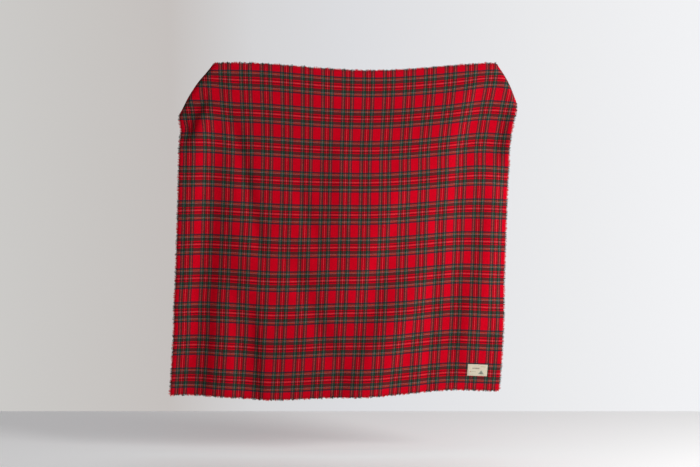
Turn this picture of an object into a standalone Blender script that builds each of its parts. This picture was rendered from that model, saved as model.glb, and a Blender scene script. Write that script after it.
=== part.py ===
"""Camp blanket: a thick woven wool tartan throw, hung up by two points of its top edge.

Metres, +Z up. The blanket's face looks along -Y. The origin is the middle of the line between the
two points that it hangs from. Every piece is laid out on the flat cloth first, by its distance
across from the left edge and down from the top edge, and then draped as the cloth hangs: the top
band is drawn tight between the two points, the middle sags, both top corners roll over to the
back, and soft folds run down the sheet.
"""

import math

import bmesh
import bpy
from mathutils import Vector

for old in list(bpy.data.objects):
    bpy.data.objects.remove(old, do_unlink=True)

# ---------------------------------------------------------------- sizes of the flat blanket
CLOTH_WIDTH = 1.375
CLOTH_LENGTH = 1.325
CLOTH_THICKNESS = 0.003
FRINGE_LENGTH = 0.008
FRINGE_SHORT = 0.005  # the shorter yarn ends, between the longer ones
FRINGE_THICKNESS = 0.0018
FRINGE_GAP = 0.0005  # keeps the fringe clear of the cloth's edge round the folded corners too
FRINGE_SPACING = 0.040  # from one long bunch of yarn ends to the next
STITCH_WIDTH = 0.003
STITCH_THICKNESS = 0.0008
LABEL_WIDTH = 0.084
LABEL_HEIGHT = 0.047
LABEL_THICKNESS = 0.0008
LABEL_TO_EDGE = 0.055  # from the label to the right edge
LABEL_TO_HEM = 0.055
SEAM_INSET = 0.003
SEAM_WIDTH = 0.0015
SEAM_THICKNESS = 0.0006
GAP = 0.0003  # between pieces that touch

# ---------------------------------------------------------------- how it hangs
HANG_LEFT = 0.172  # the two points it hangs from, along the top edge
HANG_RIGHT = 1.254
MIDDLE = 0.412  # of the width: the folds draw the sheet in towards this line
SAG = 0.031  # of the middle below the line between the two points
HEM_TILT = 0.028  # the right half of the hem hangs this much higher than the left half
LEFT_LIFT = 0.015  # the rows rise this much to the left below the left hanging point
RIGHT_LIFT = 0.011  # and this much round the line below the right one
SHORTENING = 0.981  # the soft folds take up this much of the length
STRETCH = 0.018  # of the top, drawn tight between the two points
TAKE_UP = 0.035  # of the width below it, in ripples too small to draw
RIGHT_TAKE_UP = 0.034  # and this much more of its right-hand part
LEAN = 0.040  # the sheet drifts this far left on its way down
BELLY = 0.095  # the middle of the sheet stands forward of its top edge
ROLL_RADIUS = 0.020  # of the turn at each folded corner
LEFT_TURN = (0.178, 0.250)  # where the left turn starts: along the top edge, down the side
RIGHT_TURN = (0.124, 0.198)
BAND = 0.050  # the top band hangs flat between the two points
FOLD_WIDTH = 1.375  # the width of the sheet that the places of the folds are given for

# Each soft fold is a step in depth along a line that runs down the sheet. Its numbers are the
# place across at the top and at the hem, the step, its half-width, and then the shares of the
# length at which it starts, is fully there, starts to fade and is gone.
FOLDS = (
    (0.660, 0.660, -0.050, 0.160, 0.00, 0.45, 2.00, 3.00),
    (0.200, -0.460, -0.038, 0.022, 0.09, 0.16, 0.20, 0.28),
    (0.130, 0.030, 0.040, 0.040, 0.08, 0.20, 0.60, 1.60),
    (0.178, 0.152, -0.018, 0.026, 0.02, 0.80, 2.00, 3.00),
    (0.135, 0.475, 0.013, 0.024, 0.10, 0.24, 0.48, 0.64),
    (0.182, 0.505, -0.013, 0.020, 0.10, 0.24, 0.48, 0.64),
    (0.109, 0.334, -0.007, 0.022, 0.45, 0.56, 0.66, 0.74),
    (0.085, 0.280, 0.018, 0.026, 0.64, 0.82, 2.00, 3.00),
    (0.230, 0.375, -0.018, 0.020, 0.64, 0.82, 2.00, 3.00),
    (0.300, 0.750, 0.006, 0.018, 0.30, 0.42, 0.50, 0.60),
    (0.352, 0.812, -0.006, 0.018, 0.30, 0.42, 0.50, 0.60),
    (0.093, 0.683, 0.010, 0.032, 0.50, 0.65, 0.84, 1.02),
    (0.166, 0.750, -0.010, 0.032, 0.50, 0.65, 0.84, 1.02),
    (0.640, 0.665, -0.006, 0.022, 0.16, 0.28, 0.42, 0.56),
    (0.690, 0.690, 0.006, 0.022, 0.16, 0.28, 0.42, 0.56),
    (1.135, 0.595, 0.014, 0.036, 0.32, 0.46, 0.64, 0.80),
    (1.215, 0.720, -0.022, 0.042, 0.58, 0.76, 2.00, 3.00),
    (1.335, 0.880, 0.017, 0.036, 0.58, 0.76, 2.00, 3.00),
    (1.070, 1.050, 0.013, 0.026, 0.36, 0.52, 2.00, 3.00),
    (1.105, 1.085, -0.007, 0.022, 0.36, 0.52, 2.00, 3.00),
    (1.150, 1.120, 0.013, 0.024, 0.32, 0.46, 0.66, 0.82),
    (1.218, 0.968, 0.016, 0.030, 0.02, 0.12, 0.30, 0.50),
    (1.215, 1.195, -0.020, 0.030, 0.56, 0.76, 0.86, 1.02),
    (1.300, 1.240, -0.014, 0.030, 0.34, 0.50, 0.68, 0.80),
    (1.355, 1.350, -0.022, 0.026, 0.12, 0.20, 0.26, 0.36),
    (1.345, 1.340, 0.016, 0.030, 0.26, 0.38, 0.66, 0.90),
)


def smooth(x, low, high):
    """Rises smoothly from 0 at low to 1 at high."""
    x = min(max((x - low) / (high - low), 0.0), 1.0)
    return x * x * (3.0 - 2.0 * x)


def depth(across, down):
    """How far behind the top band a point of the draped sheet stands."""
    share = down / CLOTH_LENGTH
    place = across * FOLD_WIDTH / CLOTH_WIDTH
    width = 0.64 if place < 0.40 else 0.54
    belly = BELLY * smooth(share, -0.10, 0.75) * math.exp(-(((place - 0.40) / width) ** 2))
    back = -belly * smooth(down, BAND, BAND + 0.30)
    below_band = smooth(down, BAND, BAND + 0.12)
    for top, hem, step, half, start, full, fade, gone in FOLDS:
        strength = smooth(share, start, full) * (1.0 - smooth(share, fade, gone)) * below_band
        line = top + (hem - top) * share
        outward = -1.0 if hem < MIDDLE * FOLD_WIDTH else 1.0  # only the cloth outside is moved
        back += 0.5 * step * strength * (math.tanh((place - line) / half) + outward)
    return back


def side(across, down):
    """How far right a point hangs: its distance along the folds from the middle line."""
    start = MIDDLE * CLOTH_WIDTH
    share = down / CLOTH_LENGTH
    drawn = smooth(share, 0.0, 0.30)
    pull = 1.0 + STRETCH * (1.0 - drawn) - TAKE_UP * drawn
    steps = max(1, round(abs(across - start) / 0.014))
    pitch = (across - start) / steps
    x = start - 0.5 * (HANG_LEFT + HANG_RIGHT) - LEAN * share**2.3
    before = depth(start, down)
    for n in range(steps):
        after = depth(start + pitch * (n + 1), down)
        rise = after - before
        place = (start + pitch * (n + 0.5)) / CLOTH_WIDTH
        taken = RIGHT_TAKE_UP * smooth(place, 0.62, 0.77) * drawn
        x += (pull - taken) * math.copysign(math.sqrt(max(pitch * pitch - rise * rise, 0.0)), pitch)
        before = after
    return x


def height(across, down):
    """How high a point hangs: the rows sag between the two points, a little wider lower down."""
    share = down / CLOTH_LENGTH
    place = across / CLOTH_WIDTH
    middle = 0.5 * (HANG_LEFT + HANG_RIGHT) + 0.065 * (1.0 - share)
    reach = 0.5 * (HANG_RIGHT - HANG_LEFT) * (1.0 + 0.22 * share)
    bend = math.cos(0.5 * math.pi * min(abs(across - middle) / reach, 1.2))
    tilt = smooth(place, 0.24, 0.53) - 0.45 * smooth(place, 0.82, 1.0) - 0.5
    tilt *= HEM_TILT * smooth(share, 0.0, 0.8)
    lift = LEFT_LIFT * (1.0 - smooth(place, 0.06, 0.19)) * (1.0 - smooth(share, 0.0, 0.8))
    lift += RIGHT_LIFT * math.exp(-(((place - 0.91) / 0.07) ** 2)) * (1.0 - smooth(share, 0.0, 0.6))
    lift *= smooth(down, 0.0, 0.1)
    return -SHORTENING * down - SAG * bend * bend + tilt + lift


def draped(across, down):
    """The place of a point of the sheet, before its top corners turn over."""
    return Vector((side(across, down), depth(across, down), height(across, down)))


def hung(across, down):
    """The place of a point of the hung sheet. Past a turning line, the sheet rolls to the back."""
    for corner, legs, hand in ((0.0, LEFT_TURN, 1.0), (CLOTH_WIDTH, RIGHT_TURN, -1.0)):
        length = math.hypot(*legs)
        out_across, out_down = -hand * legs[1] / length, -legs[0] / length
        past = (
            (across - corner) * out_across + down * out_down + legs[0] * legs[1] / length
        )
        if past <= 0.0:
            continue
        turn = min(past / ROLL_RADIUS, math.pi)
        along = ROLL_RADIUS * math.sin(turn) - max(past - math.pi * ROLL_RADIUS, 0.0)
        point = draped(
            across + (along - past) * out_across, down + (along - past) * out_down
        )
        point.y += ROLL_RADIUS * (1.0 - math.cos(turn))
        return point
    return draped(across, down)


# ---------------------------------------------------------------- collections and materials
scene = bpy.context.scene
blanket = bpy.data.collections.new("Camp blanket")
scene.collection.children.link(blanket)


def material(name, colour, roughness):
    made = bpy.data.materials.new(name)
    made.use_nodes = True
    surface = made.node_tree.nodes["Principled BSDF"]
    surface.inputs["Base Color"].default_value = (*colour, 1.0)
    surface.inputs["Roughness"].default_value = roughness
    return made


# ---------------------------------------------------------------- rulings of the flat cloth
def spread(low, high, pitch):
    """Even rulings from low to high, both kept, about pitch apart."""
    count = max(1, round((high - low) / pitch))
    return [low + (high - low) * n / count for n in range(count + 1)]


def rulings(*runs):
    """Joins runs of rulings that share their end values."""
    joined = []
    for run in runs:
        joined += run if not joined else run[1:]
    return joined


LABEL_LEFT = CLOTH_WIDTH - LABEL_TO_EDGE - LABEL_WIDTH
LABEL_RIGHT = CLOTH_WIDTH - LABEL_TO_EDGE
LABEL_TOP = CLOTH_LENGTH - LABEL_TO_HEM - LABEL_HEIGHT
LABEL_FOOT = CLOTH_LENGTH - LABEL_TO_HEM
label_columns = spread(LABEL_LEFT, LABEL_RIGHT, 0.014)
label_rows = spread(LABEL_TOP, LABEL_FOOT, 0.024)
columns = rulings(
    spread(0.0, STITCH_WIDTH, STITCH_WIDTH),
    spread(STITCH_WIDTH, 0.223, 0.013),
    spread(0.223, 0.343, 0.030),
    spread(0.343, LABEL_LEFT, 0.050),
    label_columns,
    spread(LABEL_RIGHT, CLOTH_WIDTH - STITCH_WIDTH, 0.013),
    spread(CLOTH_WIDTH - STITCH_WIDTH, CLOTH_WIDTH, STITCH_WIDTH),
)
rows = rulings(
    spread(0.0, STITCH_WIDTH, STITCH_WIDTH),
    spread(STITCH_WIDTH, 0.280, 0.013),
    spread(0.280, LABEL_TOP, 0.050),
    label_rows,
    spread(LABEL_FOOT, CLOTH_LENGTH - STITCH_WIDTH, 0.030),
    spread(CLOTH_LENGTH - STITCH_WIDTH, CLOTH_LENGTH, STITCH_WIDTH),
)


def sheet(name, across_lines, down_lines, place, thickness, surface):
    """A ruled sheet with one vertex where each pair of lines crosses, thickened evenly."""
    across_count = len(across_lines) - 1
    down_count = len(down_lines) - 1
    bpy.ops.mesh.primitive_grid_add(
        x_subdivisions=across_count, y_subdivisions=down_count, size=2.0
    )
    made = bpy.context.object
    made.name = made.data.name = name
    for vertex in made.data.vertices:
        column = round((vertex.co.x + 1.0) / 2.0 * across_count)
        row = round((1.0 - vertex.co.y) / 2.0 * down_count)
        vertex.co = place(across_lines[column], down_lines[row])
    made.data.update()
    shell = made.modifiers.new("Thickness", "SOLIDIFY")
    shell.thickness = thickness
    shell.offset = 0.0
    made.data.materials.append(surface)
    for home in list(made.users_collection):
        home.objects.unlink(made)
    blanket.objects.link(made)
    return made


# ---------------------------------------------------------------- woven body
# One length of brushed wool cloth, woven in a twill tartan with warp and weft dyed to pattern.
wool = material("wool_tartan", (0.42, 0.008, 0.018), 0.95)
knots = {}


def knot(across, down):
    """Hangs one crossing of the rulings, and keeps it for the pieces that lie on the cloth."""
    knots[across, down] = hung(across, down)
    return knots[across, down]


body = sheet("woven_body", columns, rows, knot, CLOTH_THICKNESS, wool)
places = sorted(knots, key=lambda flat: (-flat[1], flat[0]))
normals = {flat: vertex.normal.copy() for flat, vertex in zip(places, body.data.vertices)}


def between(lines, value):
    """The ruling before value, and how far value is on the way to the next."""
    n = max(k for k in range(len(lines) - 1) if lines[k] <= value + 1e-9 or k == 0)
    return n, (value - lines[n]) / (lines[n + 1] - lines[n])


def on_cloth(across, down):
    """A place in the ruled cloth, which runs straight from ruling to ruling, and its normal."""
    k, p = between(columns, across)
    m, q = between(rows, down)
    place, normal = Vector(), Vector()
    for column, share in ((k, 1.0 - p), (k + 1, p)):
        for row, part in ((m, 1.0 - q), (m + 1, q)):
            flat = (columns[column], rows[row])
            place += share * part * knots[flat]
            normal += share * part * normals[flat]
    return place, normal.normalized()


def laid(lift):
    """Lays a piece on the face of the cloth, its middle lifted off the cloth's own middle."""

    def place(across, down):
        point, normal = on_cloth(across, down)
        return point + lift * normal

    return place


# ---------------------------------------------------------------- fringes
# The cut yarn ends of the same cloth stand out past its edge all round, in short uneven bunches.
def fringe(name, lines, edge, outward, along_top, surface):
    """A strip of yarn ends along one edge, with long and short bunches by turns."""
    stops = [lines[0]]
    for low, high in zip(lines, lines[1:]):
        count = max(1, round(2.0 * (high - low) / FRINGE_SPACING))
        stops += [low + (high - low) * (n + 1) / count for n in range(count)]
    reach = {stop: FRINGE_LENGTH if n % 2 else FRINGE_SHORT for n, stop in enumerate(stops)}
    inside = edge - outward * STITCH_WIDTH

    def place(across, down):
        stop, out = (across, down) if along_top else (down, across)
        foot, normal = on_cloth(*((stop, edge) if along_top else (edge, stop)))
        inner, _ = on_cloth(*((stop, inside) if along_top else (inside, stop)))
        way = foot - inner
        way = (way - way.dot(normal) * normal).normalized()
        return foot + way * (FRINGE_GAP + out * reach[stop])

    ends = (0.0, 1.0) if outward > 0 else (1.0, 0.0)
    if along_top:
        return sheet(name, stops, ends, place, FRINGE_THICKNESS, surface)
    return sheet(name, ends, stops, place, FRINGE_THICKNESS, surface)


warp_ends = material("warp_yarn_ends", (0.40, 0.010, 0.020), 0.95)
weft_ends = material("weft_yarn_ends", (0.38, 0.012, 0.022), 0.95)
fringe("fringe_top", columns, 0.0, -1.0, True, warp_ends)
fringe("fringe_bottom", columns, CLOTH_LENGTH, 1.0, True, warp_ends)
fringe("fringe_left", rows, 0.0, -1.0, False, weft_ends)
fringe("fringe_right", rows, CLOTH_WIDTH, 1.0, False, weft_ends)

# ---------------------------------------------------------------- lock stitching
# A run of sewing thread along each edge stops the cloth from fraying past its fringe.
thread = material("sewing_thread_red", (0.30, 0.010, 0.020), 0.70)
on_face = laid(0.5 * CLOTH_THICKNESS + GAP + 0.5 * STITCH_THICKNESS)
side_rows = [rows[1] + GAP, *rows[2:-2], rows[-2] - GAP]
sheet("lock_stitch_top", columns, rows[:2], on_face, STITCH_THICKNESS, thread)
sheet("lock_stitch_bottom", columns, rows[-2:], on_face, STITCH_THICKNESS, thread)
sheet("lock_stitch_left", columns[:2], side_rows, on_face, STITCH_THICKNESS, thread)
sheet("lock_stitch_right", columns[-2:], side_rows, on_face, STITCH_THICKNESS, thread)

# ---------------------------------------------------------------- label
# A woven cotton label, sewn flat on the face near the lower right corner by a seam all round.
cotton = material("label_cotton", (0.68, 0.62, 0.45), 0.85)
label_lift = 0.5 * CLOTH_THICKNESS + GAP + 0.5 * LABEL_THICKNESS
sheet("label", label_columns, label_rows, laid(label_lift), LABEL_THICKNESS, cotton)

cream = material("sewing_thread_cream", (0.62, 0.56, 0.42), 0.70)
seam_lift = label_lift + 0.5 * LABEL_THICKNESS + GAP + 0.5 * SEAM_THICKNESS


def seam_lines(low, high, inner):
    """Rulings of the seam's two sides, with the label's own rulings between them."""
    first, last = low + SEAM_INSET, high - SEAM_INSET
    return [first, first + SEAM_WIDTH, *inner, last - SEAM_WIDTH, last]


seam_columns = seam_lines(LABEL_LEFT, LABEL_RIGHT, label_columns[1:-1])
seam_rows = seam_lines(LABEL_TOP, LABEL_FOOT, label_rows[1:-1])
seam = sheet("label_seam", seam_columns, seam_rows, laid(seam_lift), SEAM_THICKNESS, cream)
outline = bmesh.new()
outline.from_mesh(seam.data)
middle_faces = [face for face in outline.faces if not any(edge.is_boundary for edge in face.edges)]
bmesh.ops.delete(outline, geom=middle_faces, context="FACES")
outline.to_mesh(seam.data)
outline.free()
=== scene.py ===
"""Camp blanket: a brushed wool tartan cloth, hung by its top edge.

The sections follow the blanket as it is made: the woven body, the fringe that its own yarn ends
make, the lock stitching that stops it fraying, and the sewn label. The studio comes last.
"""

import math

import bpy
import numpy as np
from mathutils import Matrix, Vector


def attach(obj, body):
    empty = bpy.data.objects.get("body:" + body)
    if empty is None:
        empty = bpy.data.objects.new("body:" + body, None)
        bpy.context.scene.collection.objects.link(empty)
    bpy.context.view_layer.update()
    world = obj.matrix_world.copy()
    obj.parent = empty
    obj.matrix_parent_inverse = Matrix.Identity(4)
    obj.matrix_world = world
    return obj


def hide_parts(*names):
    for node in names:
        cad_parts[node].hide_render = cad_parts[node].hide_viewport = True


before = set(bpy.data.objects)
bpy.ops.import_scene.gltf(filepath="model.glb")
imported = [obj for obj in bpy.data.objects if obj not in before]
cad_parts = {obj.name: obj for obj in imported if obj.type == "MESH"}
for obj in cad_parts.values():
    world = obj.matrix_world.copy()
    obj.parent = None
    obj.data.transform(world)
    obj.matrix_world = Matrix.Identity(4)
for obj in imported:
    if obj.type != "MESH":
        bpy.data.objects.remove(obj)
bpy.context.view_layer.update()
scene = bpy.context.scene

# ==== Woven body =================================================================================
# One length of brushed wool twill. Warp and weft are dyed to the same striped sett, and cross as
# a tartan. It hangs from two points of its top edge, with both top corners rolled to the back.
CLOTH_WIDTH = 1.375
CLOTH_LENGTH = 1.325
CLOTH_THICKNESS = 0.003
HANG_LEFT = 0.172
HANG_RIGHT = 1.254
MIDDLE = 0.412
SAG = 0.031
SAG_DRIFT = 0.065  # the lowest part of the sag lies this much further right at the top
SAG_SPREAD = 0.22  # and this share wider at the hem
HEM_TILT = 0.028
LEFT_LIFT = 0.015
RIGHT_LIFT = 0.011
SHORTENING = 0.981
STRETCH = 0.018
TAKE_UP = 0.035
RIGHT_TAKE_UP = 0.034
LEAN = 0.040
LEAN_POWER = 2.3
BELLY = 0.095
BELLY_MIDDLE = 0.40
BELLY_LEFT, BELLY_RIGHT = 0.64, 0.54  # how far the belly reaches to each side
ROLL_RADIUS = 0.020
LEFT_TURN = (0.178, 0.250)
RIGHT_TURN = (0.124, 0.198)
BAND = 0.050

# Each soft fold is a step in depth along a line that runs down the sheet. Its numbers are the
# place across at the top and at the hem, the step, its half-width, and then the shares of the
# length at which it starts, is fully there, starts to fade and is gone.
FOLDS = (
    (0.660, 0.660, -0.050, 0.160, 0.00, 0.45, 2.00, 3.00),
    (0.200, -0.460, -0.038, 0.022, 0.09, 0.16, 0.20, 0.28),
    (0.130, 0.030, 0.040, 0.040, 0.08, 0.20, 0.60, 1.60),
    (0.178, 0.152, -0.018, 0.026, 0.02, 0.80, 2.00, 3.00),
    (0.135, 0.475, 0.013, 0.024, 0.10, 0.24, 0.48, 0.64),
    (0.182, 0.505, -0.013, 0.020, 0.10, 0.24, 0.48, 0.64),
    (0.109, 0.334, -0.007, 0.022, 0.45, 0.56, 0.66, 0.74),
    (0.085, 0.280, 0.018, 0.026, 0.64, 0.82, 2.00, 3.00),
    (0.230, 0.375, -0.018, 0.020, 0.64, 0.82, 2.00, 3.00),
    (0.300, 0.750, 0.006, 0.018, 0.30, 0.42, 0.50, 0.60),
    (0.352, 0.812, -0.006, 0.018, 0.30, 0.42, 0.50, 0.60),
    (0.093, 0.683, 0.010, 0.032, 0.50, 0.65, 0.84, 1.02),
    (0.166, 0.750, -0.010, 0.032, 0.50, 0.65, 0.84, 1.02),
    (0.640, 0.665, -0.006, 0.022, 0.16, 0.28, 0.42, 0.56),
    (0.690, 0.690, 0.006, 0.022, 0.16, 0.28, 0.42, 0.56),
    (1.135, 0.595, 0.014, 0.036, 0.32, 0.46, 0.64, 0.80),
    (1.215, 0.720, -0.022, 0.042, 0.58, 0.76, 2.00, 3.00),
    (1.335, 0.880, 0.017, 0.036, 0.58, 0.76, 2.00, 3.00),
    (1.070, 1.050, 0.013, 0.026, 0.36, 0.52, 2.00, 3.00),
    (1.105, 1.085, -0.007, 0.022, 0.36, 0.52, 2.00, 3.00),
    (1.150, 1.120, 0.013, 0.024, 0.32, 0.46, 0.66, 0.82),
    (1.218, 0.968, 0.016, 0.030, 0.02, 0.12, 0.30, 0.50),
    (1.215, 1.195, -0.020, 0.030, 0.56, 0.76, 0.86, 1.02),
    (1.300, 1.240, -0.014, 0.030, 0.34, 0.50, 0.68, 0.80),
    (1.355, 1.350, -0.022, 0.026, 0.12, 0.20, 0.26, 0.36),
    (1.345, 1.340, 0.016, 0.030, 0.26, 0.38, 0.66, 0.90),
)


def smooth(x, low, high):
    """Rises smoothly from 0 at low to 1 at high."""
    x = np.clip((x - low) / (high - low), 0.0, 1.0)
    return x * x * (3.0 - 2.0 * x)


def drape_depth(across, down):
    """How far behind the top band a point of the draped cloth stands."""
    share = down / CLOTH_LENGTH
    width = np.where(across < BELLY_MIDDLE, BELLY_LEFT, BELLY_RIGHT)
    belly = BELLY * smooth(share, -0.10, 0.75) * np.exp(-(((across - BELLY_MIDDLE) / width) ** 2))
    back = -belly * smooth(down, BAND, BAND + 0.30)
    below_band = smooth(down, BAND, BAND + 0.12)
    for top, hem, step, half, start, full, fade, gone in FOLDS:
        strength = smooth(share, start, full) * (1.0 - smooth(share, fade, gone)) * below_band
        line = top + (hem - top) * share
        outward = -1.0 if hem < MIDDLE * CLOTH_WIDTH else 1.0
        back = back + 0.5 * step * strength * (np.tanh((across - line) / half) + outward)
    return back


def drape_height(across, down):
    """How high a point hangs: the rows sag between the two points, a little wider lower down."""
    share = down / CLOTH_LENGTH
    place = across / CLOTH_WIDTH
    middle = 0.5 * (HANG_LEFT + HANG_RIGHT) + SAG_DRIFT * (1.0 - share)
    reach = 0.5 * (HANG_RIGHT - HANG_LEFT) * (1.0 + SAG_SPREAD * share)
    bend = np.cos(0.5 * math.pi * np.minimum(np.abs(across - middle) / reach, 1.2))
    tilt = smooth(place, 0.24, 0.53) - 0.45 * smooth(place, 0.82, 1.0) - 0.5
    tilt = tilt * HEM_TILT * smooth(share, 0.0, 0.8)
    lift = LEFT_LIFT * (1.0 - smooth(place, 0.06, 0.19)) * (1.0 - smooth(share, 0.0, 0.8))
    ridge = np.exp(-(((place - 0.91) / 0.07) ** 2)) * (1.0 - smooth(share, 0.0, 0.6))
    lift = (lift + RIGHT_LIFT * ridge) * smooth(down, 0.0, 0.1)
    return -SHORTENING * down - SAG * bend * bend + tilt + lift


# The drape is worked out once on a fine grid of the flat cloth. Each row keeps its length along
# the folds, outward from the middle line.
GRID = 0.0025
grid_across = np.linspace(0.0, CLOTH_WIDTH, round(CLOTH_WIDTH / GRID) + 1)
grid_down = np.linspace(0.0, CLOTH_LENGTH, round(CLOTH_LENGTH / GRID) + 1)
flat_across, flat_down = np.meshgrid(grid_across, grid_down)
flat_share = flat_down / CLOTH_LENGTH
drawn = smooth(flat_share, 0.0, 0.30)
drape_y = drape_depth(flat_across, flat_down)
pitch = grid_across[1] - grid_across[0]
rise = np.diff(drape_y, axis=1)
pull = 1.0 + STRETCH * (1.0 - drawn) - TAKE_UP * drawn
pull -= RIGHT_TAKE_UP * smooth(flat_across / CLOTH_WIDTH, 0.62, 0.77) * drawn
run = np.sqrt(np.maximum(pitch**2 - rise**2, 0.0)) * pull[:, 1:]
drape_x = np.concatenate([np.zeros((len(grid_down), 1)), np.cumsum(run, axis=1)], axis=1)
middle_place = MIDDLE * CLOTH_WIDTH
middle_column = int(middle_place / pitch)
into = middle_place / pitch - middle_column
middle_x = (1.0 - into) * drape_x[:, middle_column] + into * drape_x[:, middle_column + 1]
drape_x += middle_place - middle_x[:, None] - 0.5 * (HANG_LEFT + HANG_RIGHT)
drape_x -= LEAN * flat_share**LEAN_POWER
drape_grid = np.stack([drape_x, drape_y, drape_height(flat_across, flat_down)], axis=-1)


def draped(across, down):
    """The places of points of the cloth, before its top corners turn over."""
    column = np.clip(across / pitch, 0.0, len(grid_across) - 1.001)
    row = np.clip(down / (grid_down[1] - grid_down[0]), 0.0, len(grid_down) - 1.001)
    k, m = column.astype(int), row.astype(int)
    p, q = (column - k)[..., None], (row - m)[..., None]
    above = (1.0 - p) * drape_grid[m, k] + p * drape_grid[m, k + 1]
    below = (1.0 - p) * drape_grid[m + 1, k] + p * drape_grid[m + 1, k + 1]
    return (1.0 - q) * above + q * below


def hung(across, down):
    """The places of points of the hung cloth. Past a turning line, it rolls to the back."""
    across, down = np.broadcast_arrays(np.asarray(across, float), np.asarray(down, float))
    moved_across, moved_down = across.copy(), down.copy()
    lifted = np.zeros(across.shape)
    for corner, legs, hand in ((0.0, LEFT_TURN, 1.0), (CLOTH_WIDTH, RIGHT_TURN, -1.0)):
        length = math.hypot(*legs)
        out_across, out_down = -hand * legs[1] / length, -legs[0] / length
        past = (across - corner) * out_across + down * out_down + legs[0] * legs[1] / length
        turn = np.clip(past / ROLL_RADIUS, 0.0, math.pi)
        along = ROLL_RADIUS * np.sin(turn) - np.maximum(past - math.pi * ROLL_RADIUS, 0.0)
        back = np.where(past > 0.0, along - past, 0.0)
        moved_across += back * out_across
        moved_down += back * out_down
        lifted += ROLL_RADIUS * (1.0 - np.cos(turn))
    place = draped(moved_across, moved_down)
    place[..., 1] += lifted
    return place


def face_normal(across, down, reach=0.004):
    """The directions that the front of the hung cloth faces."""
    across, down = np.broadcast_arrays(np.asarray(across, float), np.asarray(down, float))
    left = np.clip(across - reach, 0.0, CLOTH_WIDTH)
    right = np.clip(across + reach, 0.0, CLOTH_WIDTH)
    above = np.clip(down - reach, 0.0, CLOTH_LENGTH)
    below = np.clip(down + reach, 0.0, CLOTH_LENGTH)
    way_right = hung(right, down) - hung(left, down)
    way_up = hung(across, above) - hung(across, below)
    normal = np.cross(way_right, way_up)
    return normal / np.linalg.norm(normal, axis=-1, keepdims=True)


def on_face(across, down):
    """Places on the front face of the cloth."""
    return hung(across, down) + 0.5 * CLOTH_THICKNESS * face_normal(across, down)


def lay_uv(mesh, name, values):
    """Gives each corner of the mesh's faces its place in a named map."""
    layer = mesh.uv_layers.get(name) or mesh.uv_layers.new(name=name)
    layer.data.foreach_set("uv", np.ascontiguousarray(values, dtype=np.float32).ravel())


def lay_flat_uv(mesh, values):
    """Names the mesh's first map "flat" and fills it with places on the flat cloth, in metres."""
    lay_uv(mesh, "UVMap", values)
    mesh.uv_layers["UVMap"].name = "flat"


CLOTH_PITCH = 0.0075
BAKE_FRONT = 0.66  # the share of the bake's image that the front takes
BAKE_GAP = 0.004
BAKE_BACK_SCALE = 0.98
across_count = round(CLOTH_WIDTH / CLOTH_PITCH)
down_count = round(CLOTH_LENGTH / CLOTH_PITCH)
bpy.ops.mesh.primitive_grid_add(x_subdivisions=across_count, y_subdivisions=down_count, size=2.0)
cloth = bpy.context.object
cloth.name = cloth.data.name = "tartan_cloth"
unit = np.empty(len(cloth.data.vertices) * 3)
cloth.data.vertices.foreach_get("co", unit)
unit = unit.reshape(-1, 3)
vertex_across = (unit[:, 0] + 1.0) * 0.5 * CLOTH_WIDTH
vertex_down = (1.0 - unit[:, 1]) * 0.5 * CLOTH_LENGTH
cloth.data.vertices.foreach_set("co", hung(vertex_across, vertex_down).ravel())
corner_vertex = np.empty(len(cloth.data.loops), dtype=np.int32)
cloth.data.loops.foreach_get("vertex_index", corner_vertex)
flat_uv = np.stack([vertex_across, vertex_down], axis=-1)[corner_vertex]
lay_flat_uv(cloth.data, flat_uv)
cloth.data.update()
shell = cloth.modifiers.new("Thickness", "SOLIDIFY")
shell.thickness = CLOTH_THICKNESS
shell.offset = 0.0
bpy.ops.object.modifier_apply(modifier=shell.name)
cloth.data.polygons.foreach_set("use_smooth", np.ones(len(cloth.data.polygons), dtype=bool))

# The front has most of the bake's image and the back the rest. The rim shares the front's edge.
flat_uv = np.empty(len(cloth.data.loops) * 2)
cloth.data.uv_layers["flat"].data.foreach_get("uv", flat_uv)
flat_uv = flat_uv.reshape(-1, 2)
sheet_corners = across_count * down_count * 4
bake_uv = np.empty_like(flat_uv)
bake_uv[:, 0] = flat_uv[:, 0] / CLOTH_WIDTH
bake_uv[:, 1] = 1.0 - flat_uv[:, 1] / CLOTH_LENGTH * BAKE_FRONT
bake_uv[sheet_corners : 2 * sheet_corners, 1] -= BAKE_FRONT + BAKE_GAP
bake_uv[sheet_corners : 2 * sheet_corners, 1] *= BAKE_BACK_SCALE
lay_uv(cloth.data, "OFBake", bake_uv)


def link(tree, source, target):
    """Joins an output to an input."""
    tree.links.new(source, target)


def calculate(tree, operation, first, second=None, third=None, clamp=False):
    """A Math node. Each value is a number or another node's output."""
    node = tree.nodes.new("ShaderNodeMath")
    node.operation = operation
    node.use_clamp = clamp
    for socket, value in zip(node.inputs, (first, second, third)):
        if value is None:
            continue
        if isinstance(value, (int, float)):
            socket.default_value = value
        else:
            link(tree, value, socket)
    return node.outputs[0]


def blend_colours(tree, share, first, second, blend="MIX"):
    """A colour Mix node. Each colour is a tuple or another node's output."""
    node = tree.nodes.new("ShaderNodeMix")
    node.data_type = "RGBA"
    node.blend_type = blend
    for socket, value in ((node.inputs[0], share), (node.inputs[6], first), (node.inputs[7], second)):
        if isinstance(value, (int, float)):
            socket.default_value = value
        elif isinstance(value, tuple):
            socket.default_value = (*value, 1.0)
        else:
            link(tree, value, socket)
    return node.outputs[2]


def new_group(name, inputs, outputs):
    """A shader node group with named sockets, its input node and its output node."""
    group = bpy.data.node_groups.new(name, "ShaderNodeTree")
    for label, kind, value in inputs:
        socket = group.interface.new_socket(name=label, in_out="INPUT", socket_type=kind)
        if value is not None:
            socket.default_value = value
    for label, kind in outputs:
        group.interface.new_socket(name=label, in_out="OUTPUT", socket_type=kind)
    return group, group.nodes.new("NodeGroupInput"), group.nodes.new("NodeGroupOutput")


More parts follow.
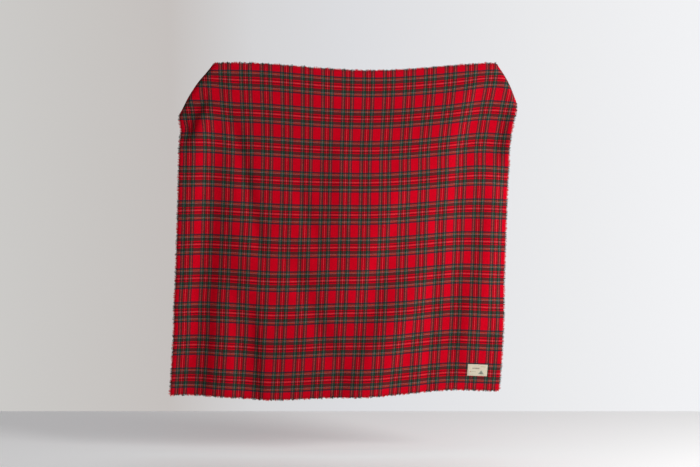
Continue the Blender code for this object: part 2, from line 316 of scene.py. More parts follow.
def place_group(tree, group, **values):
    """Places a group in a material, and sets or links its inputs by name."""
    node = tree.nodes.new("ShaderNodeGroup")
    node.node_tree = group
    for label, value in values.items():
        socket = node.inputs[label.replace("_", " ")]
        if isinstance(value, (int, float)):
            socket.default_value = value
        else:
            link(tree, value, socket)
    return node


# The sett: the order of dyed yarns from the middle of a wide red block to the pale line in the
# middle of the green, after which it runs back the same way. 96 yarns make one repeat.
RED = (0.600, 0.0013, 0.0130)
DEEP_RED = (0.490, 0.0013, 0.0110)
NAVY = (0.009, 0.030, 0.050)
YELLOW = (0.240, 0.090, 0.046)
WHITE = (0.240, 0.182, 0.200)
BLACK = (0.002, 0.009, 0.007)
GREEN = (0.009, 0.041, 0.028)
PINK = (0.520, 0.112, 0.145)
SETT = (
    (18, RED),
    (4, NAVY),
    (1, BLACK),
    (3, YELLOW),
    (1, BLACK),
    (2, WHITE),
    (1, BLACK),
    (8, GREEN),
    (4, DEEP_RED),
    (2, BLACK),
    (3, RED),
    (1, PINK),
)
HALF_SETT = sum(count for count, _ in SETT)
REPEATS_ACROSS = 17
REPEATS_DOWN = 10
WARP_PITCH = CLOTH_WIDTH / REPEATS_ACROSS / (2 * HALF_SETT)
WEFT_PITCH = CLOTH_LENGTH / REPEATS_DOWN / (2 * HALF_SETT)

sett_colour, group_in, group_out = new_group(
    "sett_colour", [("Yarn", "NodeSocketFloat", 0.0)], [("Colour", "NodeSocketColor")]
)
middle_of_yarn = calculate(sett_colour, "ADD", group_in.outputs["Yarn"], 0.5)
there_and_back = calculate(sett_colour, "PINGPONG", middle_of_yarn, float(HALF_SETT))
ramp_place = calculate(sett_colour, "DIVIDE", there_and_back, float(HALF_SETT))
ramp = sett_colour.nodes.new("ShaderNodeValToRGB")
ramp.color_ramp.interpolation = "CONSTANT"
ramp.color_ramp.elements.remove(ramp.color_ramp.elements[1])
yarns_before = 0
for count, dye in SETT:
    if yarns_before == 0:
        stop = ramp.color_ramp.elements[0]
        stop.position = 0.0
    else:
        stop = ramp.color_ramp.elements.new(yarns_before / HALF_SETT)
    stop.color = (*dye, 1.0)
    yarns_before += count
link(sett_colour, ramp_place, ramp.inputs["Fac"])
link(sett_colour, ramp.outputs["Color"], group_out.inputs["Colour"])

# The twill: each yarn floats over two and under two, one step along at each crossing. The nap
# lets the yarn beneath show through. Their red light is soaked up in passing through both, and
# their blue in part, while their green is seen nearly as the plain mean of the two.
twill, group_in, group_out = new_group(
    "tartan_twill",
    [
        ("Across", "NodeSocketFloat", 0.0),
        ("Down", "NodeSocketFloat", 0.0),
        ("Mingle", "NodeSocketVector", (0.80, 0.20, 0.60)),
    ],
    [("Colour", "NodeSocketColor"), ("Height", "NodeSocketFloat")],
)
warp_place = calculate(twill, "DIVIDE", group_in.outputs["Across"], WARP_PITCH)
weft_place = calculate(twill, "DIVIDE", group_in.outputs["Down"], WEFT_PITCH)
warp_yarn = calculate(twill, "FLOOR", warp_place)
weft_yarn = calculate(twill, "FLOOR", weft_place)
warp_across = calculate(twill, "FRACT", warp_place)
weft_across = calculate(twill, "FRACT", weft_place)
warp_colour = place_group(twill, sett_colour, Yarn=warp_yarn).outputs["Colour"]
weft_colour = place_group(twill, sett_colour, Yarn=weft_yarn).outputs["Colour"]
crossing = calculate(twill, "ADD", warp_yarn, weft_yarn)
step = calculate(twill, "FLOORED_MODULO", crossing, 4.0)
weft_on_top = calculate(twill, "GREATER_THAN", step, 1.5)
top_colour = blend_colours(twill, weft_on_top, warp_colour, weft_colour)
product = blend_colours(twill, 1.0, warp_colour, weft_colour, "MULTIPLY")
top_split = twill.nodes.new("ShaderNodeSeparateColor")
product_split = twill.nodes.new("ShaderNodeSeparateColor")
mingle_split = twill.nodes.new("ShaderNodeSeparateXYZ")
join = twill.nodes.new("ShaderNodeCombineColor")
link(twill, top_colour, top_split.inputs[0])
link(twill, product, product_split.inputs[0])
link(twill, group_in.outputs["Mingle"], mingle_split.inputs[0])
for channel in range(3):
    soaked = calculate(twill, "SQRT", product_split.outputs[channel])
    change = calculate(twill, "SUBTRACT", soaked, top_split.outputs[channel])
    share = mingle_split.outputs[channel]
    mingled = calculate(twill, "MULTIPLY_ADD", change, share, top_split.outputs[channel])
    link(twill, mingled, join.inputs[channel])
link(twill, join.outputs[0], group_out.inputs["Colour"])


def float_height(across_yarn, along):
    """A yarn's round back, times the arch of its float over the two yarns beneath."""
    off = calculate(twill, "MULTIPLY_ADD", across_yarn, 2.0, -1.0)
    back = calculate(twill, "SUBTRACT", 1.0, calculate(twill, "MULTIPLY", off, off))
    bow = calculate(twill, "MULTIPLY_ADD", along, 2.0, -1.0)
    arch = calculate(twill, "SUBTRACT", 1.0, calculate(twill, "MULTIPLY", bow, bow))
    arched = calculate(twill, "MULTIPLY_ADD", arch, 0.5, 0.5)
    return calculate(twill, "MULTIPLY", back, arched)


warp_along = calculate(twill, "MULTIPLY", calculate(twill, "ADD", step, weft_across), 0.5)
weft_step = calculate(twill, "SUBTRACT", step, 2.0)
weft_along = calculate(twill, "MULTIPLY", calculate(twill, "ADD", weft_step, warp_across), 0.5)
warp_height = float_height(warp_across, warp_along)
weft_height = float_height(weft_across, weft_along)
kept_warp = calculate(twill, "MULTIPLY", warp_height, calculate(twill, "SUBTRACT", 1.0, weft_on_top))
kept_weft = calculate(twill, "MULTIPLY", weft_height, weft_on_top)
link(twill, calculate(twill, "ADD", kept_warp, kept_weft), group_out.inputs["Height"])

# The nap: brushed fibre ends lie every way over the yarns. They blur the edges of the stripes,
# lighten and darken the dye a little, and roughen the light.
nap, group_in, group_out = new_group(
    "wool_nap",
    [("Place", "NodeSocketVector", None), ("Colour", "NodeSocketColor", None)],
    [("Colour", "NodeSocketColor"), ("Height", "NodeSocketFloat")],
)


def noise(tree, place, scale, detail, roughness=0.6, stretch=None):
    """A Noise Texture read at a flat place, drawn out along the cloth where stretch is given."""
    if stretch is not None:
        mapping = tree.nodes.new("ShaderNodeMapping")
        mapping.inputs["Scale"].default_value = stretch
        link(tree, place, mapping.inputs["Vector"])
        place = mapping.outputs["Vector"]
    node = tree.nodes.new("ShaderNodeTexNoise")
    node.inputs["Scale"].default_value = scale
    node.inputs["Detail"].default_value = detail
    node.inputs["Roughness"].default_value = roughness
    link(tree, place, node.inputs["Vector"])
    return node


FIBRE_SCALE, TUFT_SCALE, PATCH_SCALE = 900.0, 160.0, 14.0
fibres = noise(nap, group_in.outputs["Place"], FIBRE_SCALE, 3.0, stretch=(1.0, 0.35, 1.0))
tufts = noise(nap, group_in.outputs["Place"], TUFT_SCALE, 2.0)
patches = noise(nap, group_in.outputs["Place"], PATCH_SCALE, 3.0)
fibre_shade = calculate(nap, "MULTIPLY_ADD", fibres.outputs["Fac"], 0.50, 0.75)
tuft_shade = calculate(nap, "MULTIPLY_ADD", tufts.outputs["Fac"], 0.30, 0.85)
patch_shade = calculate(nap, "MULTIPLY_ADD", patches.outputs["Fac"], 0.20, 0.90)
coarse_shade = calculate(nap, "MULTIPLY", tuft_shade, patch_shade)
nap_shade = calculate(nap, "MULTIPLY", fibre_shade, coarse_shade)
shaded = nap.nodes.new("ShaderNodeVectorMath")
shaded.operation = "SCALE"
link(nap, group_in.outputs["Colour"], shaded.inputs["Vector"])
link(nap, nap_shade, shaded.inputs["Scale"])
link(nap, shaded.outputs["Vector"], group_out.inputs["Colour"])
nap_height = calculate(
    nap, "ADD", fibres.outputs["Fac"], calculate(nap, "MULTIPLY", tufts.outputs["Fac"], 1.5)
)
link(nap, nap_height, group_out.inputs["Height"])


def wool_material(name):
    """A material with a Principled shader set for wool, and its flat place as a vector."""
    made = bpy.data.materials.new(name)
    made.use_nodes = True
    tree = made.node_tree
    shader = tree.nodes["Principled BSDF"]
    shader.inputs["Roughness"].default_value = 0.92
    shader.inputs["Specular IOR Level"].default_value = 0.02
    shader.inputs["Sheen Weight"].default_value = 0.06
    shader.inputs["Sheen Roughness"].default_value = 0.30
    shader.inputs["Sheen Tint"].default_value = (0.80, 0.22, 0.20, 1.0)
    flat = tree.nodes.new("ShaderNodeUVMap")
    flat.uv_map = "flat"
    return made, tree, shader, flat.outputs["UV"]


wool, tree, shader, flat_place = wool_material("brushed_wool_tartan")
STRIPE_BLUR = 0.0016  # how far the nap can carry a stripe's colour past its edge
blur = noise(tree, flat_place, 700.0, 1.0)
jitter = tree.nodes.new("ShaderNodeVectorMath")
jitter.operation = "MULTIPLY_ADD"
jitter.inputs[1].default_value = (STRIPE_BLUR, STRIPE_BLUR, 0.0)
link(tree, blur.outputs["Color"], jitter.inputs[0])
link(tree, flat_place, jitter.inputs[2])
place_split = tree.nodes.new("ShaderNodeSeparateXYZ")
link(tree, jitter.outputs["Vector"], place_split.inputs[0])
centred_across = calculate(tree, "SUBTRACT", place_split.outputs["X"], 0.5 * STRIPE_BLUR)
centred_down = calculate(tree, "SUBTRACT", place_split.outputs["Y"], 0.5 * STRIPE_BLUR)
weave = place_group(tree, twill, Across=centred_across, Down=centred_down)
napped = place_group(tree, nap, Place=flat_place, Colour=weave.outputs["Colour"])
link(tree, napped.outputs["Colour"], shader.inputs["Base Color"])
nap_bump = tree.nodes.new("ShaderNodeBump")
nap_bump.inputs["Strength"].default_value = 0.5
nap_bump.inputs["Distance"].default_value = 0.0012
relief = calculate(
    tree, "ADD", weave.outputs["Height"], calculate(tree, "MULTIPLY", napped.outputs["Height"], 0.6)
)
link(tree, relief, nap_bump.inputs["Height"])
link(tree, nap_bump.outputs["Normal"], shader.inputs["Normal"])
cloth.data.materials.clear()
cloth.data.materials.append(wool)

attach(cloth, "root")
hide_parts("woven_body")

# ==== Fringe =====================================================================================
# The cut ends of the cloth's own warp and weft stand out past its edge all round. Each end keeps
# its dye, has come a little untwisted, and bends its own way, so the edge looks softly ragged.
YARN_END_LENGTH = 0.0065
YARN_END_SPREAD = 0.0030
YARN_END_RADIUS = 0.00062
SHORTEST_END, LONGEST_END = 0.0025, 0.0105
YARN_END_ROOT = 0.0015  # of each end lies inside the cloth
STEP_IN = 0.004  # between the two places that give the way out past an edge
YARN_POINTS = 4
TUBE_SIDES = 4
rng = np.random.default_rng(17)


def curve_piece(name, curve):
    """A named object whose mesh is the bevelled curve."""
    holder = bpy.data.objects.new(name + "_curve", curve)
    mesh = bpy.data.meshes.new_from_object(holder)
    bpy.data.objects.remove(holder)
    piece = bpy.data.objects.new(name, mesh)
    scene.collection.objects.link(piece)
    return piece, mesh


def tube_corners(mesh, points):
    """For each face corner of a mesh of equal tubes: its tube, its share along it, the side of
    its face, and how far it is round that side."""
    corners = np.empty(len(mesh.loops), dtype=np.int32)
    mesh.loops.foreach_get("vertex_index", corners)
    tube = corners // (TUBE_SIDES * points)
    share = corners // TUBE_SIDES % points / (points - 1)
    face_side = np.arange(len(corners)) // 4 % TUBE_SIDES
    wide = (corners % TUBE_SIDES - face_side) % TUBE_SIDES
    return tube, share, face_side, np.where(wide == 3, 1, wide)


def finish_tubes(piece, dyed):
    """Smooths a piece made of tubes, gives it its material and ties it to the blanket."""
    mesh = piece.data
    mesh.polygons.foreach_set("use_smooth", np.ones(len(mesh.polygons), dtype=bool))
    mesh.materials.clear()
    mesh.materials.append(dyed)
    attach(piece, "root")


def fringe(name, node, slot, pitch, length, along_top, far_side, dyed):
    """The yarn ends along one edge, one bevelled curve for each, as one mesh."""
    count = round(length / pitch)
    stations = (np.arange(count) + 0.5) * length / count
    edge = far_side * (CLOTH_LENGTH if along_top else CLOTH_WIDTH)
    inside = edge - math.copysign(STEP_IN, far_side - 0.5)
    here, there = (stations, np.full(count, edge)) if along_top else (np.full(count, edge), stations)
    inner = hung(stations, inside) if along_top else hung(inside, stations)
    foot = hung(here, there)
    normal = face_normal(here, there)
    outward = foot - inner
    outward /= np.linalg.norm(outward, axis=1, keepdims=True)
    sideways = np.cross(outward, normal)
    swell = np.sin(stations * 2 * math.pi / 0.023) + np.sin(stations * 2 * math.pi / 0.051 + 1.0)
    reach = YARN_END_LENGTH + 0.0009 * swell + rng.normal(0.0, YARN_END_SPREAD * 0.35, count)
    reach = np.clip(reach, SHORTEST_END, LONGEST_END)
    lean = rng.normal(0.0, 0.28, count) + 0.25 * np.sin(stations * 2 * math.pi / 0.017)
    curl = rng.normal(0.0, 0.22, count)
    lift = rng.normal(0.0, 0.25 * CLOTH_THICKNESS, count)

    curve = bpy.data.curves.new(name, "CURVE")
    curve.dimensions = "3D"
    curve.bevel_depth = YARN_END_RADIUS * pitch / WARP_PITCH * (1.0 if along_top else 0.75)
    curve.bevel_resolution = 0
    for n in range(count):
        spline = curve.splines.new("POLY")
        spline.points.add(YARN_POINTS - 1)
        for k, point in enumerate(spline.points):
            t = k / (YARN_POINTS - 1)
            place = (
                foot[n]
                + outward[n] * (reach[n] * t - YARN_END_ROOT * (1.0 - t))
                + sideways[n] * (lean[n] * reach[n] * t * t)
                + normal[n] * (curl[n] * reach[n] * t * t + lift[n])
            )
            point.co = (*place, 1.0)
            point.radius = 1.0 - 0.55 * t * t
    piece, mesh = curve_piece(name, curve)

    # Each yarn end has the flat place of its own foot, and its own sliver of the bake's image.
    yarn, out, face_side, wide = tube_corners(mesh, YARN_POINTS)
    beyond = edge + (2 * far_side - 1.0) * out * YARN_END_LENGTH
    flat = np.stack([stations[yarn], beyond] if along_top else [beyond, stations[yarn]], axis=-1)
    bake = np.stack([(yarn + 0.1 + 0.8 * wide) / count, (face_side + 0.05 + 0.9 * out) / 4], axis=-1)
    lay_flat_uv(mesh, flat)
    lay_uv(mesh, "OFBake", bake)
    finish_tubes(piece, dyed)
    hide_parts(node)
    return piece


def yarn_end_material(name, axis, pitch):
    """Wool dyed to the sett along one edge."""
    made, tree, shader, flat_place = wool_material(name)
    split = tree.nodes.new("ShaderNodeSeparateXYZ")
    link(tree, flat_place, split.inputs[0])
    yarn = calculate(tree, "FLOOR", calculate(tree, "DIVIDE", split.outputs[axis], pitch))
    dye = place_group(tree, sett_colour, Yarn=yarn)
    napped = place_group(tree, nap, Place=flat_place, Colour=dye.outputs["Colour"])
    link(tree, napped.outputs["Colour"], shader.inputs["Base Color"])
    bump = tree.nodes.new("ShaderNodeBump")
    bump.inputs["Strength"].default_value = 0.5
    bump.inputs["Distance"].default_value = 0.0004
    link(tree, napped.outputs["Height"], bump.inputs["Height"])
    link(tree, bump.outputs["Normal"], shader.inputs["Normal"])
    return made


warp_ends = yarn_end_material("warp_yarn_ends", "X", WARP_PITCH)
weft_ends = yarn_end_material("weft_yarn_ends", "Y", WEFT_PITCH)
warp_row = ("warp_yarn_ends", 2 * WARP_PITCH, CLOTH_WIDTH, True)
weft_row = ("weft_yarn_ends", WEFT_PITCH, CLOTH_LENGTH, False)
fringes = [
    fringe("yarn_ends_top", "fringe_top", *warp_row, 0, warp_ends),
    fringe("yarn_ends_bottom", "fringe_bottom", *warp_row, 1, warp_ends),
    fringe("yarn_ends_left", "fringe_left", *weft_row, 0, weft_ends),
    fringe("yarn_ends_right", "fringe_right", *weft_row, 1, weft_ends),
]

# ==== Lock stitching =============================================================================
# A straight run of red sewing thread, about 2 mm in from each edge, stops the weave fraying past
# its fringe. Each stitch dips into the nap at both ends.
STITCH_LENGTH = 0.0045
STITCH_GAP = 0.0011
THREAD_RADIUS = 0.00035
STITCH_IN = 0.0022
STITCH_POINTS = 5


def thread_material(name, colour):
    """Matt sewing thread, with the slant of its twist, and painted shade in the grooves of the twist.
    """
    made = bpy.data.materials.new(name)
    made.use_nodes = True
    tree = made.node_tree
    shader = tree.nodes["Principled BSDF"]
    shader.inputs["Roughness"].default_value = 0.62
    shader.inputs["Sheen Weight"].default_value = 0.15
    flat = tree.nodes.new("ShaderNodeUVMap")
    flat.uv_map = "flat"
    slant = tree.nodes.new("ShaderNodeTexWave")
    slant.bands_direction = "DIAGONAL"
    slant.inputs["Scale"].default_value = 420.0
    slant.inputs["Distortion"].default_value = 1.0
    link(tree, flat.outputs["UV"], slant.inputs["Vector"])
    # Painted shade: the thread's colour falls to 0.6 of its dye in the grooves of the twist, where
    # the bump is lowest.
    dark = tuple(0.6 * value for value in colour)
    link(tree, blend_colours(tree, slant.outputs["Fac"], dark, colour), shader.inputs["Base Color"])
    bump = tree.nodes.new("ShaderNodeBump")
    bump.inputs["Strength"].default_value = 0.4
    bump.inputs["Distance"].default_value = 0.0002
    link(tree, slant.outputs["Fac"], bump.inputs["Height"])
    link(tree, bump.outputs["Normal"], shader.inputs["Normal"])
    return made


def stitch_row(name, starts, ends, lift, radius, dyed):
    """Stitches from each start to each end, in flat places, arched over the face of the cloth."""
    curve = bpy.data.curves.new(name, "CURVE")
    curve.dimensions = "3D"
    curve.bevel_depth = radius
    curve.bevel_resolution = 0
    share = np.linspace(0.0, 1.0, STITCH_POINTS)
    arch = np.sin(math.pi * share) ** 0.6
    for start, end in zip(starts, ends):
        flat = start + (end - start) * share[:, None]
        places = on_face(flat[:, 0], flat[:, 1])
        normals = face_normal(flat[:, 0], flat[:, 1])
        places = places + normals * (lift + radius * (1.7 * arch - 1.0))[:, None]
        spline = curve.splines.new("POLY")
        spline.points.add(STITCH_POINTS - 1)
        for k, point in enumerate(spline.points):
            point.co = (*places[k], 1.0)
            point.radius = 0.55 + 0.45 * arch[k]
    piece, mesh = curve_piece(name, curve)
    stitch, share, face_side, wide = tube_corners(mesh, STITCH_POINTS)
    flat = starts[stitch] + (ends - starts)[stitch] * share[:, None]
    flat = flat + wide[:, None] * radius
    bake = np.stack(
        [(stitch + 0.05 + 0.9 * share) / len(starts), (face_side + 0.1 + 0.8 * wide) / 4], axis=-1
    )
    lay_flat_uv(mesh, flat)
    lay_uv(mesh, "OFBake", bake)
    finish_tubes(piece, dyed)
    return piece


red_thread = thread_material("red_sewing_thread", (0.36, 0.006, 0.012))


def lock_stitches(name, node, from_flat, to_flat):
    """One straight run of stitches between two flat places near an edge."""
    start, end = np.array(from_flat), np.array(to_flat)
    length = np.linalg.norm(end - start)
    count = int(length / (STITCH_LENGTH + STITCH_GAP))
    firsts = (np.arange(count) + 0.1)[:, None] / count
    lasts = firsts + STITCH_LENGTH / length
    piece = stitch_row(
        name,
        start + (end - start) * firsts,
        start + (end - start) * lasts,
        0.0,
        THREAD_RADIUS,
        red_thread,
    )
    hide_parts(node)
    return piece


left, right = STITCH_IN, CLOTH_WIDTH - STITCH_IN
top, foot = STITCH_IN, CLOTH_LENGTH - STITCH_IN
locks = [
    lock_stitches("lock_stitches_top", "lock_stitch_top", (left, top), (right, top)),
    lock_stitches("lock_stitches_bottom", "lock_stitch_bottom", (left, foot), (right, foot)),
    lock_stitches("lock_stitches_left", "lock_stitch_left", (left, top), (left, foot)),
    lock_stitches("lock_stitches_right", "lock_stitch_right", (right, top), (right, foot)),
]

# ==== Label ======================================================================================
# A cream woven cotton label, sewn flat on the face near the lower right corner. It carries a
# plain tent, a row of marks and three bars, woven in coloured thread.
LABEL_WIDTH = 0.084
LABEL_HEIGHT = 0.047
LABEL_THICKNESS = 0.0008
LABEL_TO_EDGE = 0.055
LABEL_TO_HEM = 0.055
LABEL_LEFT = CLOTH_WIDTH - LABEL_TO_EDGE - LABEL_WIDTH
LABEL_TOP = CLOTH_LENGTH - LABEL_TO_HEM - LABEL_HEIGHT
LABEL_LIFT = 0.0009
LABEL_PUFF = 0.0005  # inside the seam
LABEL_WAVE = 0.0004
SEAM_IN = 0.0036
SEAM_DENT = 0.0006  # where the seam pulls the label down
LABEL_COLUMNS = 56
LABEL_ROWS = 32

bpy.ops.mesh.primitive_grid_add(x_subdivisions=LABEL_COLUMNS, y_subdivisions=LABEL_ROWS, size=2.0)
label = bpy.context.object
label.name = label.data.name = "woven_label"
unit = np.empty(len(label.data.vertices) * 3)
label.data.vertices.foreach_get("co", unit)
unit = unit.reshape(-1, 3)
label_x = (unit[:, 0] + 1.0) * 0.5
label_y = (1.0 - unit[:, 1]) * 0.5
label_across = LABEL_LEFT + label_x * LABEL_WIDTH
label_down = LABEL_TOP + label_y * LABEL_HEIGHT
from_side = np.minimum(label_x, 1.0 - label_x) * LABEL_WIDTH
from_end = np.minimum(label_y, 1.0 - label_y) * LABEL_HEIGHT
puff = LABEL_PUFF * smooth(np.minimum(from_side, from_end), 0.0, 0.006)
puff += LABEL_WAVE * np.sin(label_x * 9.0 + 1.0) * np.sin(label_y * 5.0)
puff -= SEAM_DENT * np.exp(-(((np.minimum(from_side, from_end) - SEAM_IN) / 0.0011) ** 2))
label_place = on_face(label_across, label_down)
label_place += (LABEL_LIFT + puff)[:, None] * face_normal(label_across, label_down)
label.data.vertices.foreach_set("co", label_place.ravel())
corner_vertex = np.empty(len(label.data.loops), dtype=np.int32)
label.data.loops.foreach_get("vertex_index", corner_vertex)
label_flat = np.stack([label_x * LABEL_WIDTH, label_y * LABEL_HEIGHT], axis=-1)
lay_flat_uv(label.data, label_flat[corner_vertex])
label.data.update()
shell = label.modifiers.new("Thickness", "SOLIDIFY")
shell.thickness = LABEL_THICKNESS
shell.offset = 0.0
bpy.ops.object.modifier_apply(modifier=shell.name)
label.data.polygons.foreach_set("use_smooth", np.ones(len(label.data.polygons), dtype=bool))
label_uv = np.empty(len(label.data.loops) * 2)
label.data.uv_layers["flat"].data.foreach_get("uv", label_uv)
label_uv = label_uv.reshape(-1, 2)
label_corners = LABEL_COLUMNS * LABEL_ROWS * 4
label_bake = label_uv / LABEL_WIDTH * 0.98
label_bake[label_corners : 2 * label_corners, 1] *= 0.6
label_bake[label_corners : 2 * label_corners, 1] += 0.62
lay_uv(label.data, "OFBake", label_bake)

cotton = bpy.data.materials.new("woven_label_cotton")
cotton.use_nodes = True
tree = cotton.node_tree
shader = tree.nodes["Principled BSDF"]
shader.inputs["Roughness"].default_value = 0.8
shader.inputs["Sheen Weight"].default_value = 0.1
flat = tree.nodes.new("ShaderNodeUVMap")
flat.uv_map = "flat"
flat_split = tree.nodes.new("ShaderNodeSeparateXYZ")
link(tree, flat.outputs["UV"], flat_split.inputs[0])
RIB_PITCH = 0.0007


def rib(place):
    """Rises and falls once for each thread."""
    turn = calculate(tree, "MULTIPLY", place, math.pi / RIB_PITCH)
    return calculate(tree, "ABSOLUTE", calculate(tree, "SINE", turn))


ribs = calculate(tree, "MULTIPLY", rib(flat_split.outputs["X"]), rib(flat_split.outputs["Y"]))
slubs = noise(tree, flat.outputs["UV"], 260.0, 2.0, stretch=(0.3, 1.0, 1.0))
# Partly painted shade: the cream is darker between the threads, where the ribs are low. The slubs add
# random tone.
gap_shade_and_slub_tone = calculate(tree, "MULTIPLY_ADD", ribs, 0.35, 0.55)
gap_shade_and_slub_tone = calculate(tree, "MULTIPLY_ADD", slubs.outputs["Fac"], 0.35, gap_shade_and_slub_tone, clamp=True)
ground_colour = blend_colours(tree, gap_shade_and_slub_tone, (0.30, 0.27, 0.20), (0.66, 0.60, 0.46))

MOTIF_EDGE = 0.0003
label_x_place, label_y_place = flat_split.outputs["X"], flat_split.outputs["Y"]


def inside(value, centre, half):
    """A mask that is 1 where a value is closer than half to its centre."""
    away = calculate(tree, "ABSOLUTE", calculate(tree, "SUBTRACT", value, centre))
    room = calculate(tree, "SUBTRACT", half, away)
    return calculate(tree, "DIVIDE", room, MOTIF_EDGE, clamp=True)


def woven_bar(centre_x, centre_y, half_width, half_height):
    """A mask of a plain bar, woven in coloured thread."""
    across_bar = inside(label_x_place, centre_x, half_width)
    return calculate(tree, "MULTIPLY", across_bar, inside(label_y_place, centre_y, half_height))


# The tent: two sides that spread from its top, less its dark door.
TENT_X, TENT_TOP, TENT_FOOT = 0.058, 0.0235, 0.0395
tent_drop = calculate(tree, "SUBTRACT", label_y_place, TENT_TOP)
tent_side = calculate(tree, "MULTIPLY", tent_drop, 0.80)
tent_rows = inside(label_y_place, 0.5 * (TENT_TOP + TENT_FOOT), 0.5 * (TENT_FOOT - TENT_TOP))
tent = calculate(tree, "MULTIPLY", inside(label_x_place, TENT_X, tent_side), tent_rows)
door_side = calculate(tree, "MULTIPLY_ADD", tent_drop, 0.28, -0.0012)
door = calculate(tree, "MULTIPLY", inside(label_x_place, TENT_X, door_side), tent_rows)

# The row of marks: short upright bars, evenly spaced.
mark_turn = calculate(tree, "MULTIPLY", label_x_place, 2.0 * math.pi / 0.0051)
mark_gaps = calculate(tree, "GREATER_THAN", calculate(tree, "SINE", mark_turn), -0.15)
marks = calculate(tree, "MULTIPLY", woven_bar(0.036, 0.0160, 0.0155, 0.0026), mark_gaps)

label_colour = ground_colour
for mask, thread in (
    (tent, (0.19, 0.23, 0.19)),
    (door, (0.05, 0.06, 0.05)),
    (marks, (0.05, 0.04, 0.035)),
    (woven_bar(0.0260, 0.0300, 0.0100, 0.0007), (0.16, 0.20, 0.10)),
    (woven_bar(0.0650, 0.0090, 0.0110, 0.0011), (0.32, 0.30, 0.12)),
    (woven_bar(0.0120, 0.0300, 0.0022, 0.0022), (0.42, 0.10, 0.09)),
):
    label_colour = blend_colours(tree, mask, label_colour, thread)
label_colour = blend_colours(tree, 0.10, label_colour, ground_colour)
link(tree, label_colour, shader.inputs["Base Color"])
bump = tree.nodes.new("ShaderNodeBump")
bump.inputs["Strength"].default_value = 0.5
bump.inputs["Distance"].default_value = 0.0003
link(tree, ribs, bump.inputs["Height"])
link(tree, bump.outputs["Normal"], shader.inputs["Normal"])
label.data.materials.clear()
label.data.materials.append(cotton)
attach(label, "root")
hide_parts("label")

# ==== Label seam =================================================================================
# A row of cream thread stitches, 3.6 mm in from the label's edge all round. It holds the label
# flat on the face of the cloth, and stands just proud of it.
SEAM_STITCH = 0.0024
SEAM_GAP = 0.0009
SEAM_START = 0.15  # of the way into its own length, each stitch starts
SEAM_THREAD_RADIUS = 0.00028
SEAM_SINK = 0.0001  # into the label's face
cream_thread = thread_material("cream_sewing_thread", (0.66, 0.60, 0.46))
seam_left, seam_right = LABEL_LEFT + SEAM_IN, LABEL_LEFT + LABEL_WIDTH - SEAM_IN
seam_top, seam_foot = LABEL_TOP + SEAM_IN, LABEL_TOP + LABEL_HEIGHT - SEAM_IN
corners = [
    (seam_left, seam_top),
    (seam_right, seam_top),
    (seam_right, seam_foot),
    (seam_left, seam_foot),
]
seam_starts, seam_ends = [], []
for here, there in zip(corners, corners[1:] + corners[:1]):
    here, there = np.array(here), np.array(there)
    length = np.linalg.norm(there - here)
    count = int(length / (SEAM_STITCH + SEAM_GAP))
    for n in range(count):
        seam_starts.append(here + (there - here) * (n + SEAM_START) / count)
        seam_ends.append(here + (there - here) * ((n + SEAM_START) / count + SEAM_STITCH / length))
seam = stitch_row(
    "label_stitches",
    np.array(seam_starts),
    np.array(seam_ends),
    LABEL_LIFT + 0.5 * LABEL_THICKNESS - SEAM_SINK,
    SEAM_THREAD_RADIUS,
    cream_thread,
)
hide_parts("label_seam")

# ==== Studio =====================================================================================
# A pale floor that ends just behind the blanket, a pale sweep of light all round that is brighter
# to the right and dimmer in front, and one large soft lamp from the right. Just left of the
# blanket the sweep has a darker, warmer band: a painted soft shadow of the blanket, tinted by
# painted red bounce light.
FLOOR_HEIGHT = -1.55
bpy.ops.mesh.primitive_plane_add(size=1.0, location=(0.0, -2.1, FLOOR_HEIGHT))
floor = bpy.context.object
floor.name = "studio_floor"
floor.scale = (9.0, 6.2, 1.0)
floor_paint = bpy.data.materials.new("pale_floor")
floor_paint.use_nodes = True
floor_shader = floor_paint.node_tree.nodes["Principled BSDF"]
floor_shader.inputs["Base Color"].default_value = (0.93, 0.93, 0.94, 1.0)
floor_shader.inputs["Roughness"].default_value = 0.7
floor.data.materials.append(floor_paint)

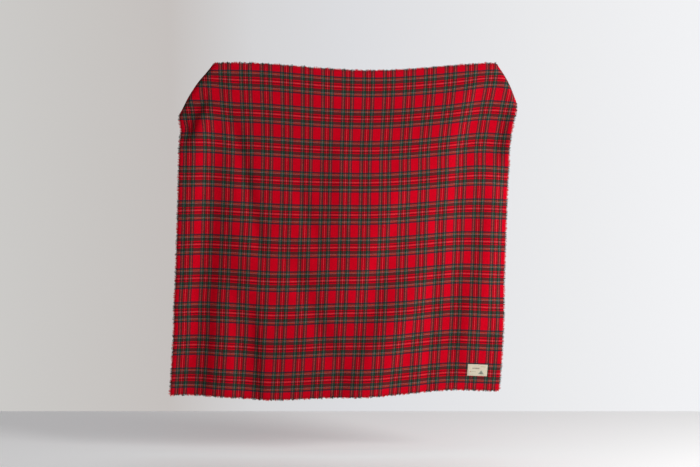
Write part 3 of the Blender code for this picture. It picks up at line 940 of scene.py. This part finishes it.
world = bpy.data.worlds.new("studio")
scene.world = world
world.use_nodes = True
sky = world.node_tree
direction = sky.nodes.new("ShaderNodeTexCoord")
direction_split = sky.nodes.new("ShaderNodeSeparateXYZ")
link(sky, direction.outputs["Generated"], direction_split.inputs[0])
sweep = sky.nodes.new("ShaderNodeMapRange")
sweep.inputs["From Min"].default_value = -0.30
sweep.inputs["From Max"].default_value = 0.30
link(sky, direction_split.outputs["X"], sweep.inputs["Value"])
# The stops from 0.14 to 0.24 are a painted shadow: a darker, warmer band where the blanket would
# shade the backdrop, warmed by painted red bounce light.
SWEEP_AND_PAINTED_SHADOW_COLOURS = (
    (0.00, (0.600, 0.590, 0.575)),
    (0.14, (0.575, 0.555, 0.538)),
    (0.24, (0.560, 0.530, 0.515)),
    (0.36, (0.670, 0.668, 0.680)),
    (0.50, (0.720, 0.725, 0.750)),
    (0.80, (0.830, 0.835, 0.850)),
    (1.00, (0.890, 0.895, 0.915)),
)
sweep_and_painted_shadow = sky.nodes.new("ShaderNodeValToRGB")
sweep_and_painted_shadow.color_ramp.elements.remove(sweep_and_painted_shadow.color_ramp.elements[1])
sweep_and_painted_shadow.color_ramp.elements[0].color = (*SWEEP_AND_PAINTED_SHADOW_COLOURS[0][1], 1.0)
for place, colour in SWEEP_AND_PAINTED_SHADOW_COLOURS[1:]:
    sweep_and_painted_shadow.color_ramp.elements.new(place).color = (*colour, 1.0)
link(sky, sweep.outputs["Result"], sweep_and_painted_shadow.inputs["Fac"])
sky_colour = sweep_and_painted_shadow.outputs["Color"]
dim = sky.nodes.new("ShaderNodeMapRange")
dim.inputs["From Min"].default_value = -0.30
dim.inputs["From Max"].default_value = 0.60
dim.inputs["To Min"].default_value = 0.38
link(sky, direction_split.outputs["Y"], dim.inputs["Value"])
dimmed = sky.nodes.new("ShaderNodeVectorMath")
dimmed.operation = "SCALE"
link(sky, sky_colour, dimmed.inputs["Vector"])
link(sky, dim.outputs["Result"], dimmed.inputs["Scale"])
link(sky, dimmed.outputs["Vector"], sky.nodes["Background"].inputs["Color"])
sky.nodes["Background"].inputs["Strength"].default_value = 1.0

LAMP_PLACE = Vector((3.2, -2.3, 0.3))
LAMP_TARGET = Vector((0.1, 0.0, -0.7))
lamp_light = bpy.data.lights.new("window_right", "AREA")
lamp_light.shape = "DISK"
lamp_light.size = 1.8
lamp_light.energy = 142.0
lamp_light.color = (1.0, 0.99, 0.97)
lamp = bpy.data.objects.new("window_right", lamp_light)
lamp.location = LAMP_PLACE
lamp.rotation_euler = (LAMP_TARGET - LAMP_PLACE).to_track_quat("-Z", "Y").to_euler()
scene.collection.objects.link(lamp)

view = bpy.data.cameras.new("camera")
view.lens = 57.8
view.sensor_width = 36.0
camera = bpy.data.objects.new("camera", view)
camera.location = (-0.016, -4.5, -0.680)
camera.rotation_euler = (math.radians(90.0), 0.0, 0.0)
scene.collection.objects.link(camera)
scene.camera = camera
scene.view_settings.view_transform = "Standard"
